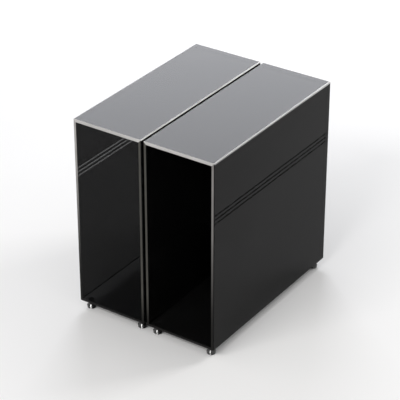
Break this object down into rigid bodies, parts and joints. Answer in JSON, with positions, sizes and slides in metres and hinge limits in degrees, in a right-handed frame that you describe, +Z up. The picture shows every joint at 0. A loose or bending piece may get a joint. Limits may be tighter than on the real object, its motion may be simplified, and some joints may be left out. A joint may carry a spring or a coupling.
{
  "type": "record storage rack",
  "caption": "Pair of free-standing open-fronted smoked acrylic boxes on small turned feet, for keeping vinyl records on edge; fine grooves run along the sides.",
  "frame": {"origin": "on the floor under the middle of the pair, half-way between the two racks and half-way deep", "axes": "+X to the right across the open fronts, -Y out of the open fronts, +Z up"},
  "size_m": [0.2742, 0.352, 0.3645],
  "materials": {
    "smoked_acrylic": "polished smoked see-through sheet with pale cut edges",
    "foot_black": "glossy black, turned",
    "pad_rubber": "matt black rubber",
    "adhesive_foam": "dark double-sided foam tape"
  },
  "bodies": {
    "left_rack": {"left_rack_top_panel": "smoked_acrylic", "left_rack_bottom_panel": "smoked_acrylic", "left_rack_left_panel": "smoked_acrylic", "left_rack_right_panel": "smoked_acrylic", "left_rack_back_panel": "smoked_acrylic", "left_rack_foot_front_left": "foot_black", "left_rack_pad_front_left": "pad_rubber", "left_rack_foot_front_right": "foot_black", "left_rack_pad_front_right": "pad_rubber", "left_rack_foot_rear_left": "foot_black", "left_rack_pad_rear_left": "pad_rubber", "left_rack_foot_rear_right": "foot_black", "left_rack_pad_rear_right": "pad_rubber", "left_rack_adhesive_discs": "adhesive_foam"},
    "right_rack": {"right_rack_top_panel": "smoked_acrylic", "right_rack_bottom_panel": "smoked_acrylic", "right_rack_left_panel": "smoked_acrylic", "right_rack_right_panel": "smoked_acrylic", "right_rack_back_panel": "smoked_acrylic", "right_rack_foot_front_left": "foot_black", "right_rack_pad_front_left": "pad_rubber", "right_rack_foot_front_right": "foot_black", "right_rack_pad_front_right": "pad_rubber", "right_rack_foot_rear_left": "foot_black", "right_rack_pad_rear_left": "pad_rubber", "right_rack_foot_rear_right": "foot_black", "right_rack_pad_rear_right": "pad_rubber", "right_rack_adhesive_discs": "adhesive_foam"}
  },
  "joints": [
    {"name": "right_rack_slide", "type": "slide", "parent": "left_rack", "child": "right_rack", "axis": [1, 0, 0], "range_m": [-0.0043, 0.2]}
  ]
}
